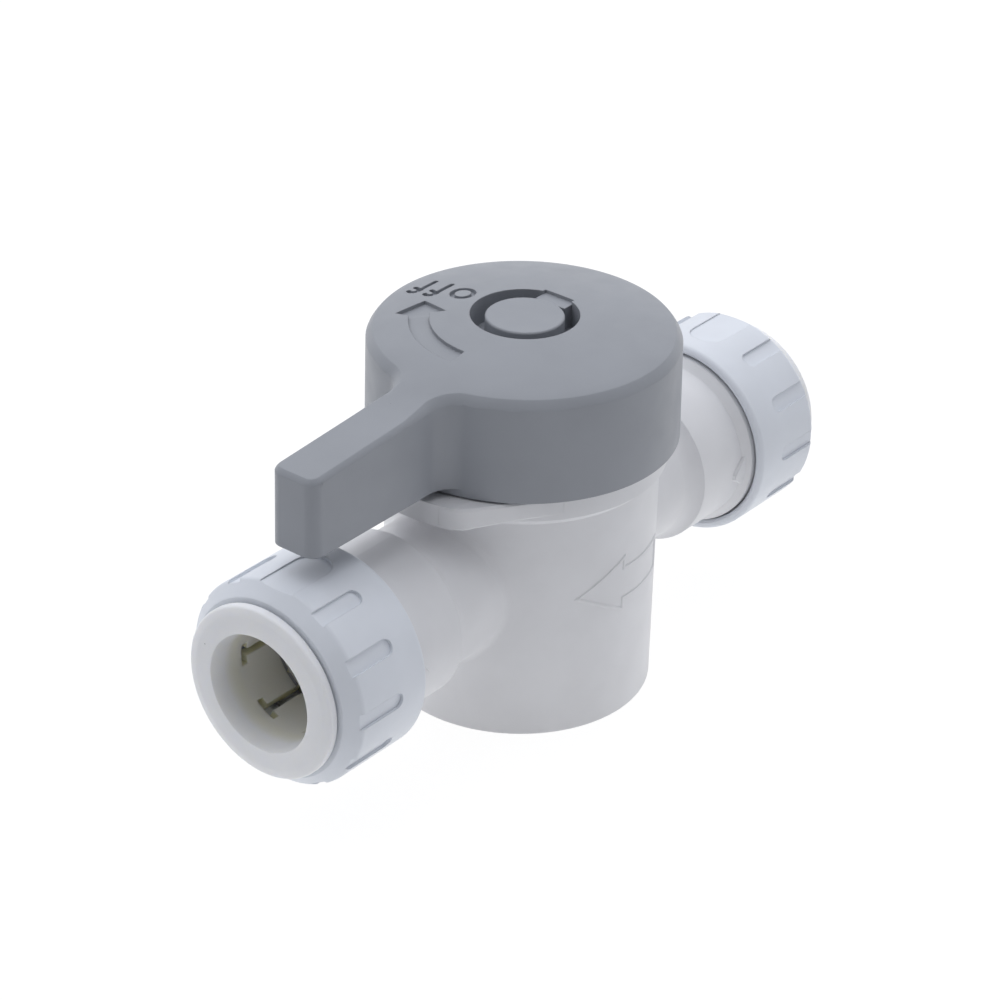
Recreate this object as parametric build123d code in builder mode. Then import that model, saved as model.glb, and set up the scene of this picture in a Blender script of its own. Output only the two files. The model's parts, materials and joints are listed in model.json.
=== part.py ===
from build123d import *
import os
from math import asin, cos, degrees, radians, sin, sqrt

os.makedirs("parts", exist_ok=True)

# A quarter-turn isolating valve for 5/8 in (15.9 mm) plastic tube.
# Frame: +X runs along the pipe, the lever points to -X when the valve is open, +Z is the stem axis.
# The origin is the middle of the barrel's flat base. "Near" is the -X end, "far" the +X end.
# All sizes are in millimetres.

# Clearances
sliding_gap = 0.10
running_gap = 0.05
seal_gap = 0.03
moving_gap = 0.30

# Tube and waterway
tube_radius = 7.94
tube_fit = 0.11
waterway_radius = 5.6
axis_height = 21.2

# Ball, seats and the carrier that holds them in the barrel
ball_radius = 10.0
ball_slot_width = 4.0
ball_slot_depth = 3.0
seat_outer_radius = 8.2
seat_inner_radius = 5.8
seat_lip = 0.4
seat_wall = 0.6
carrier_port_wall = 0.8
port_seal_radius = 7.4
port_seal_section = 0.9

# Stem
stem_radius = 5.0
stem_shoulder_radius = 7.4
stem_shoulder_thickness = 2.2
tang_length = 8.8
stem_seal_section = 0.8
stem_seal_rises = (2.1, 6.4)
drive_side = 7.0
drive_length = 7.6
drive_corner = 0.4
pin_hole_depth = 5.8

# Barrel of the body
barrel_base_radius = 18.85
barrel_top_radius = 19.15
barrel_wall = 2.85
base_thickness = 3.0
base_edge_radius = 0.3

# Flange under the handle, and its ear beneath the lever
flange_radius = 20.2
flange_rise = 1.0
flange_thickness = 3.3
ear_reach = 24.7
ear_half_width = 7.4
ear_edge_radius = 0.8

# Pipe stubs, measured outward from the stem axis
neck_radius = 10.6
neck_root_fillet = 1.2
neck_flare_radius = 3.0
stub_wall = 1.8
sleeve_lead = 1.2
tube_stop = 28.5
socket_length = 6.5
seal_space = 2.25
seal_bore_length = 3.0
washer_thickness = 1.5
nose_reach = 3.0
nose_length = 7.2

# Groove of the nose that the cap's inner bead runs in
groove_setback = 2.1
groove_width = 2.2
groove_depth = 0.65

# Collet
collet_length = 13.7
collet_play = 1.0
collet_travel = 1.3
collet_wall = 1.65
collet_flange_radius = 12.4
collet_flange_thickness = 1.6
collet_flange_edge = 0.35
collet_bevel_width = 1.3
collet_bevel_depth = 0.25
finger_head_height = 1.3
finger_head_length = 2.5
finger_head_play = 0.4
finger_cone_length = 1.5
lead_in_depth = 0.45
lead_in_length = 2.9
slit_count = 6
slit_width = 1.2
slit_length = 7.1
slit_bar_width = 1.1
slit_bar_span = 3.4
tooth_thickness = 0.5
tooth_setback = 0.9
tooth_plate_width = 1.5
tooth_notch = 0.6
teeth_per_finger = 3

# Screw cap
cap_wall = 1.35
cap_rear_gap = 0.2
cap_rear_fillet = 0.8
cap_lead_in = 0.4
cap_cone_length = 1.7
cap_taper_length = 2.0
cap_face_margin = 0.5
cap_front_round = 0.8
slot_count = 12
slot_width = 2.3
slot_depth = 0.45
slot_setback = 6.2
pad_width = 5.6

# Bonnet
bonnet_ledge = 0.8
bonnet_boss_radius = 8.4
bonnet_boss_height = 4.8
bonnet_seal_rise = 1.6
bonnet_seal_section = 0.9
bead_drop = 0.8
bead_width = 0.7
bead_reach = 0.4
stop_radius = 13.4
stop_width = 3.0
stop_height = 3.3
stop_half_angle = 8.0
stop_place = 45.0
stop_clear_angle = 0.6
quarter_turn = 90.0

# Handle
hub_radius = 21.75
handle_draft = 0.6
dome_rise = 17.8
dome_radius = 94.5
dome_blend_radius = 60.0
lever_top_slope = 4.0
lever_reach = 47.5
lever_width = 7.8
lever_lift = 1.4
lever_root_radius = 4.0
lever_tip_radius = 1.9
handle_edge_radius = 1.4
handle_wall = 2.3
handle_boss_radius = 8.2
lever_wall = 1.6
lever_roof_drop = 3.0
rib_count = 8
rib_thickness = 1.6
rib_lift = 2.0
stop_lug_lift = 0.9

# Eye of the handle, and the pin whose head fills it
eye_web = 1.0
eye_radius = 7.5
eye_rib_count = 3
eye_rib_width = 0.9
eye_rib_drop = 1.9
eye_rib_place = 42.0
key_half_width = 2.5
key_reach = 7.65
key_depth = 0.5
pin_head_radius = 5.45
pin_head_height = 3.75
pin_edge_radius = 0.3
pin_shank_radius = 2.3
pin_end_gap = 0.7

# Worked-out radii about the pipe
socket_radius = tube_radius + tube_fit
seal_bore_radius = socket_radius + seal_space
sleeve_radius = seal_bore_radius + stub_wall
finger_sleeve_radius = socket_radius + collet_wall
finger_head_radius = finger_sleeve_radius + finger_head_height
collet_chamber_radius = finger_head_radius + finger_head_play
collar_radius = collet_chamber_radius + stub_wall
cap_bore_radius = collar_radius + moving_gap
cap_radius = cap_bore_radius + cap_wall
cap_bead_radius = collar_radius - groove_depth + moving_gap
cap_mouth_radius = finger_sleeve_radius + moving_gap

# Worked-out distances along the pipe
seat_back = ball_radius + seat_wall
seat_front = sqrt(ball_radius**2 - seat_outer_radius**2) + seat_lip
port_groove_floor = seat_back + sliding_gap + carrier_port_wall
carrier_half_width = port_groove_floor + 2 * port_seal_section
cavity_half_width = carrier_half_width + sliding_gap
sleeve_start = tube_stop - sleeve_lead
socket_end = tube_stop + socket_length
seal_bore_end = socket_end + seal_bore_length
finger_tip = seal_bore_end + washer_thickness + collet_play
finger_head_end = finger_tip + finger_head_length
slit_end = finger_tip + slit_length
collet_face = finger_tip + collet_length
collet_back = collet_face - collet_flange_thickness
nose_end = finger_tip + nose_reach
groove_end = nose_end - groove_setback
groove_start = groove_end - groove_width
collar_start = nose_end - nose_length
cap_rear = collar_start + collar_radius - sleeve_radius + cap_rear_gap
cap_front = collet_back - moving_gap
cap_taper_start = cap_front - cap_taper_length
cap_cone_end = finger_head_end + collet_travel + cap_cone_length

# Worked-out heights above the base
ball_top = axis_height + ball_radius
ball_slot_floor = ball_top - ball_slot_depth
shoulder_bottom = ball_top + moving_gap
carrier_top = shoulder_bottom + stem_shoulder_thickness + moving_gap
flange_bottom = carrier_top + flange_rise
flange_top = flange_bottom + flange_thickness
bonnet_top = flange_top - sliding_gap
bonnet_boss_top = bonnet_top + bonnet_boss_height
bonnet_seal_height = carrier_top + bonnet_seal_rise
bead_height = flange_top - bead_drop
catch_height = bead_height + bead_width / 2 - sliding_gap
drive_top = bonnet_boss_top + drive_length
handle_bottom = flange_top + moving_gap
handle_roof = drive_top + moving_gap
eye_floor = handle_roof + eye_web
dome_top = flange_top + dome_rise
lever_bottom = flange_top + lever_lift

# Worked-out radii about the stem
cavity_radius = barrel_base_radius - barrel_wall
chamber_radius = ball_radius + moving_gap
bonnet_bore_radius = cavity_radius + bonnet_ledge
bonnet_radius = bonnet_bore_radius - sliding_gap
bonnet_seal_floor = bonnet_bore_radius - 2 * bonnet_seal_section - 2 * seal_gap
stem_bore_radius = stem_radius + running_gap
stem_seal_floor = stem_bore_radius - 2 * stem_seal_section - 2 * seal_gap

pipe_axis = Axis((0, 0, axis_height), (1, 0, 0))
pipe_plane = Plane(origin=(0, 0, axis_height), x_dir=(1, 0, 0), z_dir=(0, -1, 0))


def station(distance):
    """Plane across the pipe at a distance outward along -X, facing outward."""
    return Plane(origin=(-distance, 0, axis_height), x_dir=(0, -1, 0), z_dir=(-1, 0, 0))


def beside_pipe(angle, distance):
    """Plane that faces away from the pipe axis, at an angle from +Y about the pipe."""
    outward = Vector(0, cos(radians(angle)), sin(radians(angle)))
    return Plane(origin=Vector(0, 0, axis_height) + outward * distance, x_dir=(1, 0, 0), z_dir=outward)


def profile_points(outline):
    """Turn (distance outward, radius) pairs into points on the pipe plane, at the -X end."""
    return [(-distance, radius) for distance, radius in outline]


def stop_sector(place):
    """Plan of a stop lug at an angle from +X about the stem."""
    start = place - stop_half_angle
    with BuildSketch() as sector:
        with BuildLine():
            outer = CenterArc((0, 0), stop_radius + stop_width / 2, start, 2 * stop_half_angle)
            inner = CenterArc((0, 0), stop_radius - stop_width / 2, start, 2 * stop_half_angle)
            Line(outer @ 0, inner @ 0)
            Line(outer @ 1, inner @ 1)
        make_face()
    return sector.sketch


def write(builder, name):
    """Label a finished piece and write it."""
    builder.part.label = name
    export_step(builder.part, f"parts/{name}.step")


# Body: outside of one end's pipe stub, turned about the pipe
neck_flare_rise = sleeve_radius - neck_radius
neck_flare_run = sqrt(neck_flare_radius**2 - (neck_flare_radius - neck_flare_rise) ** 2)
flare_start = (-(sleeve_start - neck_flare_run), neck_radius)
flare_end = (-sleeve_start, sleeve_radius)
with BuildPart() as stub:
    with BuildSketch(pipe_plane):
        with BuildLine():
            Polyline((0, 0), (0, neck_radius), flare_start)
            RadiusArc(flare_start, flare_end, neck_flare_radius)
            Polyline(
                flare_end,
                *profile_points([
                    (collar_start, sleeve_radius),
                    (collar_start + collar_radius - sleeve_radius, collar_radius),
                    (groove_start, collar_radius),
                    (groove_start, collar_radius - groove_depth),
                    (groove_end, collar_radius - groove_depth),
                    (groove_end, collar_radius),
                    (nose_end, collar_radius),
                    (nose_end, 0),
                ]),
                (0, 0),
            )
        make_face()
    revolve(axis=pipe_axis)

# Body: stepped bore of one end, from the cavity out to the nose
with BuildPart() as stub_bore:
    with BuildSketch(pipe_plane):
        with BuildLine():
            Polyline(
                *profile_points([
                    (0, 0),
                    (0, waterway_radius),
                    (tube_stop, waterway_radius),
                    (tube_stop, socket_radius),
                    (socket_end, socket_radius),
                    (socket_end, seal_bore_radius),
                    (seal_bore_end, seal_bore_radius),
                    (seal_bore_end, collet_chamber_radius),
                    (nose_end, collet_chamber_radius),
                    (nose_end, 0),
                ]),
                close=True,
            )
        make_face()
    revolve(axis=pipe_axis)

# Body: barrel, flange and ear with two pipe stubs, hollowed for the carrier, bonnet and tubes
with BuildPart() as body:
    with BuildSketch(Plane.XZ):
        with BuildLine():
            Polyline(
                (0, 0),
                (barrel_base_radius, 0),
                (barrel_top_radius, flange_bottom - (flange_radius - barrel_top_radius)),
                (flange_radius, flange_bottom),
                (flange_radius, flange_top),
                (0, flange_top),
                close=True,
            )
        make_face()
    revolve(axis=Axis.Z)
    fillet(body.edges().group_by(Axis.Z)[0], base_edge_radius)
    add(stub.part)
    mirror(stub.part, about=Plane.YZ)
    with BuildSketch(Plane.XY.offset(flange_bottom)) as ear:
        Circle(ear_reach)
        with Locations((-ear_reach, 0)):
            Rectangle(2 * ear_reach, 2 * ear_half_width, mode=Mode.INTERSECT)
        fillet(ear.vertices().filter_by(lambda corner: corner.X < -ear_reach / 2), ear_edge_radius)
    extrude(amount=flange_top - flange_bottom)
    necks = body.edges().filter_by(
        lambda edge: edge.geom_type == GeomType.BSPLINE
        and abs((edge @ 0.5).X) < barrel_top_radius
        and abs((edge @ 0.5).Z - axis_height) < 1.1 * neck_radius
    )
    fillet(necks, neck_root_fillet)
    # Cavity for the carrier, flat on the two port sides
    with BuildSketch(Plane.XY.offset(base_thickness)):
        Circle(cavity_radius)
        Rectangle(2 * cavity_half_width, 2 * cavity_radius, mode=Mode.INTERSECT)
    extrude(amount=carrier_top - base_thickness, mode=Mode.SUBTRACT)
    # Bore for the bonnet, with the groove that its bead snaps into
    with BuildSketch(Plane.XZ):
        with BuildLine():
            Polyline(
                (0, carrier_top),
                (bonnet_bore_radius, carrier_top),
                (bonnet_bore_radius, bead_height - bead_width),
                (bonnet_bore_radius + bead_reach, bead_height - bead_width / 2),
                (bonnet_bore_radius + bead_reach, bead_height + bead_width / 2),
                (bonnet_bore_radius, bead_height + bead_width / 2),
                (bonnet_bore_radius, flange_top),
                (0, flange_top),
                close=True,
            )
        make_face()
    revolve(axis=Axis.Z, mode=Mode.SUBTRACT)
    # Stepped bores of the two ends
    add(stub_bore.part, mode=Mode.SUBTRACT)
    mirror(stub_bore.part, about=Plane.YZ, mode=Mode.SUBTRACT)
write(body, "body")

# Screw caps: a turned shell with a cone inside, a bead behind and grip slots round the outside
with BuildPart() as near_cap:
    with BuildSketch(pipe_plane):
        with BuildLine():
            Polyline(
                *profile_points([
                    (cap_rear, cap_bore_radius + cap_lead_in),
                    (cap_rear, cap_radius),
                    (cap_taper_start, cap_radius),
                    (cap_front, collet_flange_radius + cap_face_margin),
                    (cap_front, cap_mouth_radius),
                    (cap_cone_end, cap_mouth_radius),
                    (cap_cone_end - cap_cone_length, collet_chamber_radius),
                    (nose_end + moving_gap, collet_chamber_radius),
                    (nose_end + moving_gap, cap_bore_radius),
                    (groove_end - moving_gap, cap_bore_radius),
                    (groove_end - moving_gap, cap_bead_radius),
                    (groove_start + moving_gap, cap_bead_radius),
                    (groove_start + moving_gap, cap_bore_radius),
                    (cap_rear + cap_lead_in, cap_bore_radius),
                ]),
                close=True,
            )
        make_face()
    revolve(axis=pipe_axis)
    rear_edges = near_cap.edges().filter_by(GeomType.CIRCLE).group_by(Axis.X)[-1]
    fillet(rear_edges.sort_by(SortBy.RADIUS)[-1], cap_rear_fillet)
    fillet(
        near_cap.edges().filter_by(
            lambda edge: edge.geom_type == GeomType.CIRCLE
            and abs(edge.radius - cap_radius) < running_gap
            and edge.center().X < -cap_taper_start + running_gap
        ),
        cap_front_round,
    )
    for index in range(slot_count):
        angle = index * 360 / slot_count
        width = pad_width if angle in (90, 270) else slot_width
        slot_start = cap_rear + slot_setback - width / 2
        length = cap_front - slot_start + width
        with BuildSketch(beside_pipe(angle, cap_radius - slot_depth)):
            with Locations((-slot_start - length / 2, 0)):
                SlotOverall(length, width)
        extrude(amount=2 * slot_depth, mode=Mode.SUBTRACT)
write(near_cap, "near_cap")

# Collets: a flanged sleeve whose inner end is slit into fingers, each ending in a head
with BuildPart() as near_collet:
    with BuildSketch(pipe_plane):
        with BuildLine():
            Polyline(
                *profile_points([
                    (collet_face, socket_radius + lead_in_depth),
                    (collet_face, collet_flange_radius - collet_bevel_width),
                    (collet_face - collet_bevel_depth, collet_flange_radius),
                    (collet_back, collet_flange_radius),
                    (collet_back, finger_sleeve_radius),
                    (finger_head_end + finger_cone_length, finger_sleeve_radius),
                    (finger_head_end, finger_head_radius),
                    (finger_tip, finger_head_radius),
                    (finger_tip, socket_radius),
                    (collet_face - lead_in_length, socket_radius),
                ]),
                close=True,
            )
        make_face()
    revolve(axis=pipe_axis)
    fillet(
        near_collet.edges().filter_by(
            lambda edge: edge.geom_type == GeomType.CIRCLE
            and abs(edge.radius - collet_flange_radius) < running_gap
        ),
        collet_flange_edge,
    )
    for index in range(slit_count):
        with BuildSketch(beside_pipe(index * 360 / slit_count, 0)):
            with Locations((-(finger_tip + slit_end) / 2, 0)):
                Rectangle(slit_length + slit_bar_width, slit_width)
            with Locations((-slit_end - slit_bar_width / 2, 0)):
                Rectangle(slit_bar_width, slit_bar_span)
        extrude(amount=2 * finger_head_radius, mode=Mode.SUBTRACT)
    # Pockets for the teeth
    with BuildSketch(station(finger_tip + tooth_setback - sliding_gap / 2)):
        Circle(socket_radius + tooth_plate_width + sliding_gap)
    extrude(amount=tooth_thickness + sliding_gap, mode=Mode.SUBTRACT)
write(near_collet, "near_collet")

# Steel teeth: one toothed plate in each finger, kept together as one group per end
with BuildPart() as near_collet_teeth:
    with BuildSketch(station(finger_tip + tooth_setback)):
        Circle(socket_radius + tooth_plate_width)
        Circle(socket_radius + running_gap, mode=Mode.SUBTRACT)
        with PolarLocations(socket_radius + running_gap, slit_count * teeth_per_finger):
            RegularPolygon(tooth_notch, 3, mode=Mode.SUBTRACT)
        with PolarLocations(socket_radius, slit_count):
            Rectangle(4 * tooth_plate_width, slit_width + 2 * sliding_gap, mode=Mode.SUBTRACT)
    extrude(amount=tooth_thickness)
write(near_collet_teeth, "near_collet_teeth")

# Washer and tube seal behind the collet
with BuildPart() as near_washer:
    with BuildSketch(station(seal_bore_end)):
        Circle(collet_chamber_radius - sliding_gap)
        Circle(socket_radius + 2 * sliding_gap, mode=Mode.SUBTRACT)
    extrude(amount=washer_thickness)
write(near_washer, "near_washer")

tube_seal_section = (seal_bore_radius - sliding_gap - socket_radius - running_gap) / 2
with BuildPart() as near_tube_seal:
    with BuildSketch(pipe_plane):
        with Locations((-seal_bore_end + tube_seal_section, socket_radius + running_gap + tube_seal_section)):
            Circle(tube_seal_section)
    revolve(axis=pipe_axis)
write(near_tube_seal, "near_tube_seal")

# Far end: the same pieces turned half a turn about the stem axis
for near_piece in (near_cap, near_collet, near_collet_teeth, near_washer, near_tube_seal):
    with BuildPart() as far_piece:
        add(near_piece.part, rotation=(0, 0, 180))
    write(far_piece, near_piece.part.label.replace("near", "far"))

# Ball: bored along the pipe when the valve is open, slotted across it for the stem
with BuildPart() as ball:
    with Locations((0, 0, axis_height)):
        Sphere(ball_radius)
    with BuildSketch(station(-ball_radius)):
        Circle(waterway_radius)
    extrude(amount=2 * ball_radius, mode=Mode.SUBTRACT)
    with BuildSketch(Plane.XY.offset(ball_slot_floor)):
        Rectangle(ball_slot_width, 2 * ball_radius)
    extrude(amount=ball_slot_depth, mode=Mode.SUBTRACT)
write(ball, "ball")

# Seats: rings that bear on the ball, shaped to it
with BuildPart() as near_seat:
    with BuildSketch(station(seat_front)):
        Circle(seat_outer_radius)
        Circle(seat_inner_radius, mode=Mode.SUBTRACT)
    extrude(amount=seat_back - seat_front)
    with Locations((0, 0, axis_height)):
        Sphere(ball_radius + running_gap, mode=Mode.SUBTRACT)
write(near_seat, "near_seat")

# Carrier: two halves that close round the ball and fill the barrel's cavity
with BuildPart() as near_carrier:
    with BuildSketch(Plane.XY.offset(base_thickness)):
        Circle(cavity_radius - sliding_gap)
        with Locations((-carrier_half_width / 2, 0)):
            Rectangle(carrier_half_width, 2 * cavity_radius, mode=Mode.INTERSECT)
    extrude(amount=carrier_top - base_thickness)
    with Locations((0, 0, axis_height)):
        Sphere(chamber_radius, mode=Mode.SUBTRACT)
    with BuildSketch(station(0)):
        Circle(waterway_radius)
    extrude(amount=cavity_half_width, mode=Mode.SUBTRACT)
    with BuildSketch(station(0)):
        Circle(seat_outer_radius + sliding_gap)
    extrude(amount=seat_back + sliding_gap, mode=Mode.SUBTRACT)
    with BuildSketch(station(port_groove_floor)):
        Circle(port_seal_radius + port_seal_section + sliding_gap)
        Circle(port_seal_radius - port_seal_section - sliding_gap, mode=Mode.SUBTRACT)
    extrude(amount=2 * port_seal_section, mode=Mode.SUBTRACT)
    with BuildSketch(Plane.XY.offset(ball_top)):
        Circle(stem_shoulder_radius + moving_gap)
    extrude(amount=carrier_top - ball_top, mode=Mode.SUBTRACT)
    with BuildSketch(Plane.XY.offset(axis_height)):
        Circle(stem_radius + moving_gap)
    extrude(amount=carrier_top - axis_height, mode=Mode.SUBTRACT)
write(near_carrier, "near_carrier")

# Port seals: O-rings between the carrier's flats and the barrel's ports
with BuildPart() as near_port_seal:
    with BuildSketch(pipe_plane):
        with Locations((-cavity_half_width + port_seal_section, port_seal_radius)):
            Circle(port_seal_section)
    revolve(axis=pipe_axis)
write(near_port_seal, "near_port_seal")

# Far seat, carrier half and port seal: mirror images of the near ones
for near_piece in (near_seat, near_carrier, near_port_seal):
    with BuildPart() as far_piece:
        mirror(near_piece.part, about=Plane.YZ)
    write(far_piece, near_piece.part.label.replace("near", "far"))

# Bonnet: closes the barrel, guides the stem and carries the stop lug
with BuildPart() as bonnet:
    with BuildSketch(Plane.XZ):
        with BuildLine():
            Polyline(
                (stem_bore_radius, carrier_top),
                (bonnet_radius, carrier_top),
                (bonnet_radius, bonnet_seal_height - bonnet_seal_section),
                (bonnet_seal_floor, bonnet_seal_height - bonnet_seal_section),
                (bonnet_seal_floor, bonnet_seal_height + bonnet_seal_section),
                (bonnet_radius, bonnet_seal_height + bonnet_seal_section),
                (bonnet_radius, catch_height - bead_width),
                (bonnet_radius + bead_reach, catch_height - bead_width + bead_reach),
                (bonnet_radius + bead_reach, catch_height),
                (bonnet_radius, catch_height),
                (bonnet_radius, bonnet_top),
                (bonnet_boss_radius, bonnet_top),
                (bonnet_boss_radius, bonnet_boss_top),
                (stem_bore_radius, bonnet_boss_top),
                close=True,
            )
        make_face()
    revolve(axis=Axis.Z)
    with BuildSketch(Plane.XY.offset(bonnet_top)):
        add(stop_sector(stop_place))
    extrude(amount=stop_height)
write(bonnet, "bonnet")

with BuildPart() as bonnet_seal:
    with BuildSketch(Plane.XZ):
        with Locations((bonnet_bore_radius - seal_gap - bonnet_seal_section, bonnet_seal_height)):
            Circle(bonnet_seal_section - seal_gap)
    revolve(axis=Axis.Z)
write(bonnet_seal, "bonnet_seal")

# Stem: tang in the ball's slot, shoulder under the bonnet, square drive in the handle
stem_seal_heights = [carrier_top + rise for rise in stem_seal_rises]
with BuildPart() as stem:
    with BuildSketch(Plane.XY.offset(shoulder_bottom)):
        Circle(stem_shoulder_radius)
    extrude(amount=stem_shoulder_thickness)
    with BuildSketch(Plane.XY.offset(shoulder_bottom)):
        Circle(stem_radius)
    extrude(amount=bonnet_boss_top - shoulder_bottom)
    with BuildSketch(Plane.XY.offset(bonnet_boss_top)) as drive:
        Rectangle(drive_side, drive_side)
        chamfer(drive.vertices(), drive_corner)
    extrude(amount=drive_length)
    with BuildSketch(Plane.XY.offset(ball_slot_floor + sliding_gap)):
        Circle(tang_length / 2)
        Rectangle(ball_slot_width - 2 * running_gap, tang_length, mode=Mode.INTERSECT)
    extrude(amount=shoulder_bottom - ball_slot_floor - sliding_gap)
    for height in stem_seal_heights:
        with BuildSketch(Plane.XY.offset(height - stem_seal_section)):
            Circle(stem_radius)
            Circle(stem_seal_floor, mode=Mode.SUBTRACT)
        extrude(amount=2 * stem_seal_section, mode=Mode.SUBTRACT)
    with BuildSketch(Plane.XY.offset(drive_top)):
        Circle(pin_shank_radius + running_gap)
    extrude(amount=-pin_hole_depth, mode=Mode.SUBTRACT)
write(stem, "stem")

for height, name in zip(stem_seal_heights, ("stem_seal_lower", "stem_seal_upper")):
    with BuildPart() as stem_seal:
        with BuildSketch(Plane.XZ):
            with Locations((stem_bore_radius - seal_gap - stem_seal_section, height)):
                Circle(stem_seal_section - seal_gap)
        revolve(axis=Axis.Z)
    write(stem_seal, name)

# Handle: plan of the hub and lever drawn up with a little draft, under a domed top
dome_turn = degrees(asin(hub_radius / dome_radius))
eye_rim = dome_top - dome_radius + sqrt(dome_radius**2 - eye_radius**2)
key_start = pin_head_radius + running_gap
with BuildPart() as handle:
    with BuildSketch(Plane.XY.offset(handle_bottom)) as plan:
        Circle(hub_radius)
        with Locations((-lever_reach / 2, 0)):
            Rectangle(lever_reach, lever_width)
        fillet(plan.vertices().filter_by(lambda corner: -hub_radius < corner.X < 0), lever_root_radius)
        fillet(plan.vertices().filter_by(lambda corner: corner.X < -lever_reach + 0.1), lever_tip_radius)
    extrude(amount=dome_rise, taper=handle_draft)
    with BuildSketch(Plane.XZ):
        with BuildLine():
            dome = JernArc((0, dome_top), (1, 0), dome_radius, -dome_turn)
            blend = JernArc(dome @ 1, dome % 1, dome_blend_radius, dome_turn - lever_top_slope)
            lever_line = PolarLine(blend @ 1, lever_reach - hub_radius, direction=blend % 1)
            Polyline(
                lever_line @ 1,
                ((lever_line @ 1).X, handle_bottom),
                (0, handle_bottom),
                (0, dome_top),
            )
        make_face()
    revolve(axis=Axis.Z, mode=Mode.INTERSECT)
    fillet(handle.faces().sort_by(Axis.Z)[-1].edges(), handle_edge_radius)
    # Underside of the lever, a little higher than the hub's, and the pocket that lightens it
    with BuildSketch(Plane.XY.offset(handle_bottom)):
        with Locations((-lever_reach, 0)):
            Rectangle(2 * lever_reach, 2 * hub_radius)
        Circle(hub_radius, mode=Mode.SUBTRACT)
    extrude(amount=lever_bottom - handle_bottom, mode=Mode.SUBTRACT)
    with BuildSketch(Plane.XY.offset(lever_bottom)) as pocket:
        with Locations((-(hub_radius + lever_reach - lever_wall) / 2, 0)):
            Rectangle(lever_reach - lever_wall - hub_radius, lever_width - 2 * lever_wall)
        fillet(pocket.vertices(), lever_wall / 2)
    extrude(amount=handle_roof - lever_roof_drop - lever_bottom, mode=Mode.SUBTRACT)
    # Hollow of the hub, up to the boss, then round it, then between the ribs
    with BuildSketch(Plane.XY.offset(handle_bottom)):
        Circle(hub_radius - handle_wall)
    extrude(amount=bonnet_boss_top + moving_gap - handle_bottom, mode=Mode.SUBTRACT)
    with BuildSketch(Plane.XY.offset(bonnet_boss_top + moving_gap)):
        Circle(hub_radius - handle_wall)
        Circle(handle_boss_radius, mode=Mode.SUBTRACT)
    extrude(amount=rib_lift - moving_gap, mode=Mode.SUBTRACT)
    with BuildSketch(Plane.XY.offset(bonnet_boss_top + rib_lift)):
        Circle(hub_radius - handle_wall)
        Circle(handle_boss_radius, mode=Mode.SUBTRACT)
        with PolarLocations(hub_radius / 2, rib_count):
            Rectangle(hub_radius, rib_thickness, mode=Mode.SUBTRACT)
    extrude(amount=handle_roof - bonnet_boss_top - rib_lift, mode=Mode.SUBTRACT)
    # Stop lugs: one meets each side of the bonnet's lug at the two ends of the quarter turn
    with BuildSketch(Plane.XY.offset(handle_bottom + stop_lug_lift)):
        add(stop_sector(stop_place - 2 * stop_half_angle - stop_clear_angle))
        add(stop_sector(stop_place + 2 * stop_half_angle + stop_clear_angle + quarter_turn))
    extrude(amount=handle_roof - handle_bottom - stop_lug_lift)
    # Square socket on the stem
    with BuildSketch(Plane.XY.offset(bonnet_boss_top)):
        Rectangle(drive_side + 2 * running_gap, drive_side + 2 * running_gap)
    extrude(amount=handle_roof - bonnet_boss_top, mode=Mode.SUBTRACT)
    # Eye: a round well with low ribs, a key ledge on the far side and the pin's hole in its floor
    with BuildSketch(Plane.XY.offset(eye_floor)):
        Circle(eye_radius)
        with PolarLocations(eye_radius, eye_rib_count, start_angle=eye_rib_place):
            Rectangle(2 * (eye_radius - pin_head_radius - running_gap), eye_rib_width, mode=Mode.SUBTRACT)
        with Locations((key_start + key_reach / 2, 0)):
            Rectangle(key_reach, 2 * key_half_width, mode=Mode.SUBTRACT)
    extrude(amount=eye_rim - eye_rib_drop - eye_floor, mode=Mode.SUBTRACT)
    with BuildSketch(Plane.XY.offset(eye_rim - eye_rib_drop)):
        Circle(eye_radius)
        with Locations((key_start + key_reach / 2, 0)):
            Rectangle(key_reach, 2 * key_half_width, mode=Mode.SUBTRACT)
    extrude(amount=dome_rise, mode=Mode.SUBTRACT)
    with BuildSketch(Plane.XY.offset(eye_rim - key_depth)):
        with Locations(((key_start + key_reach) / 2, 0)):
            Rectangle(key_reach - key_start, 2 * key_half_width)
    extrude(amount=dome_rise, mode=Mode.SUBTRACT)
    with BuildSketch(Plane.XY.offset(handle_roof)):
        Circle(pin_shank_radius + running_gap)
    extrude(amount=eye_web, mode=Mode.SUBTRACT)
write(handle, "handle")

# Pin: its head fills the eye and its shank goes down into the stem
with BuildPart() as handle_pin:
    with BuildSketch(Plane.XY.offset(eye_floor)):
        Circle(pin_head_radius)
    extrude(amount=pin_head_height)
    fillet(handle_pin.edges().sort_by(Axis.Z)[-1], pin_edge_radius)
    with BuildSketch(Plane.XY.offset(drive_top - pin_hole_depth + pin_end_gap)):
        Circle(pin_shank_radius)
    extrude(amount=eye_floor - drive_top + pin_hole_depth - pin_end_gap)
write(handle_pin, "handle_pin")
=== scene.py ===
import json
from math import acos, asin, atan2, cos, pi, radians, sin

import bmesh
import bpy
from mathutils import Matrix, Vector
from mathutils.bvhtree import BVHTree
from mathutils.kdtree import KDTree


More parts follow.
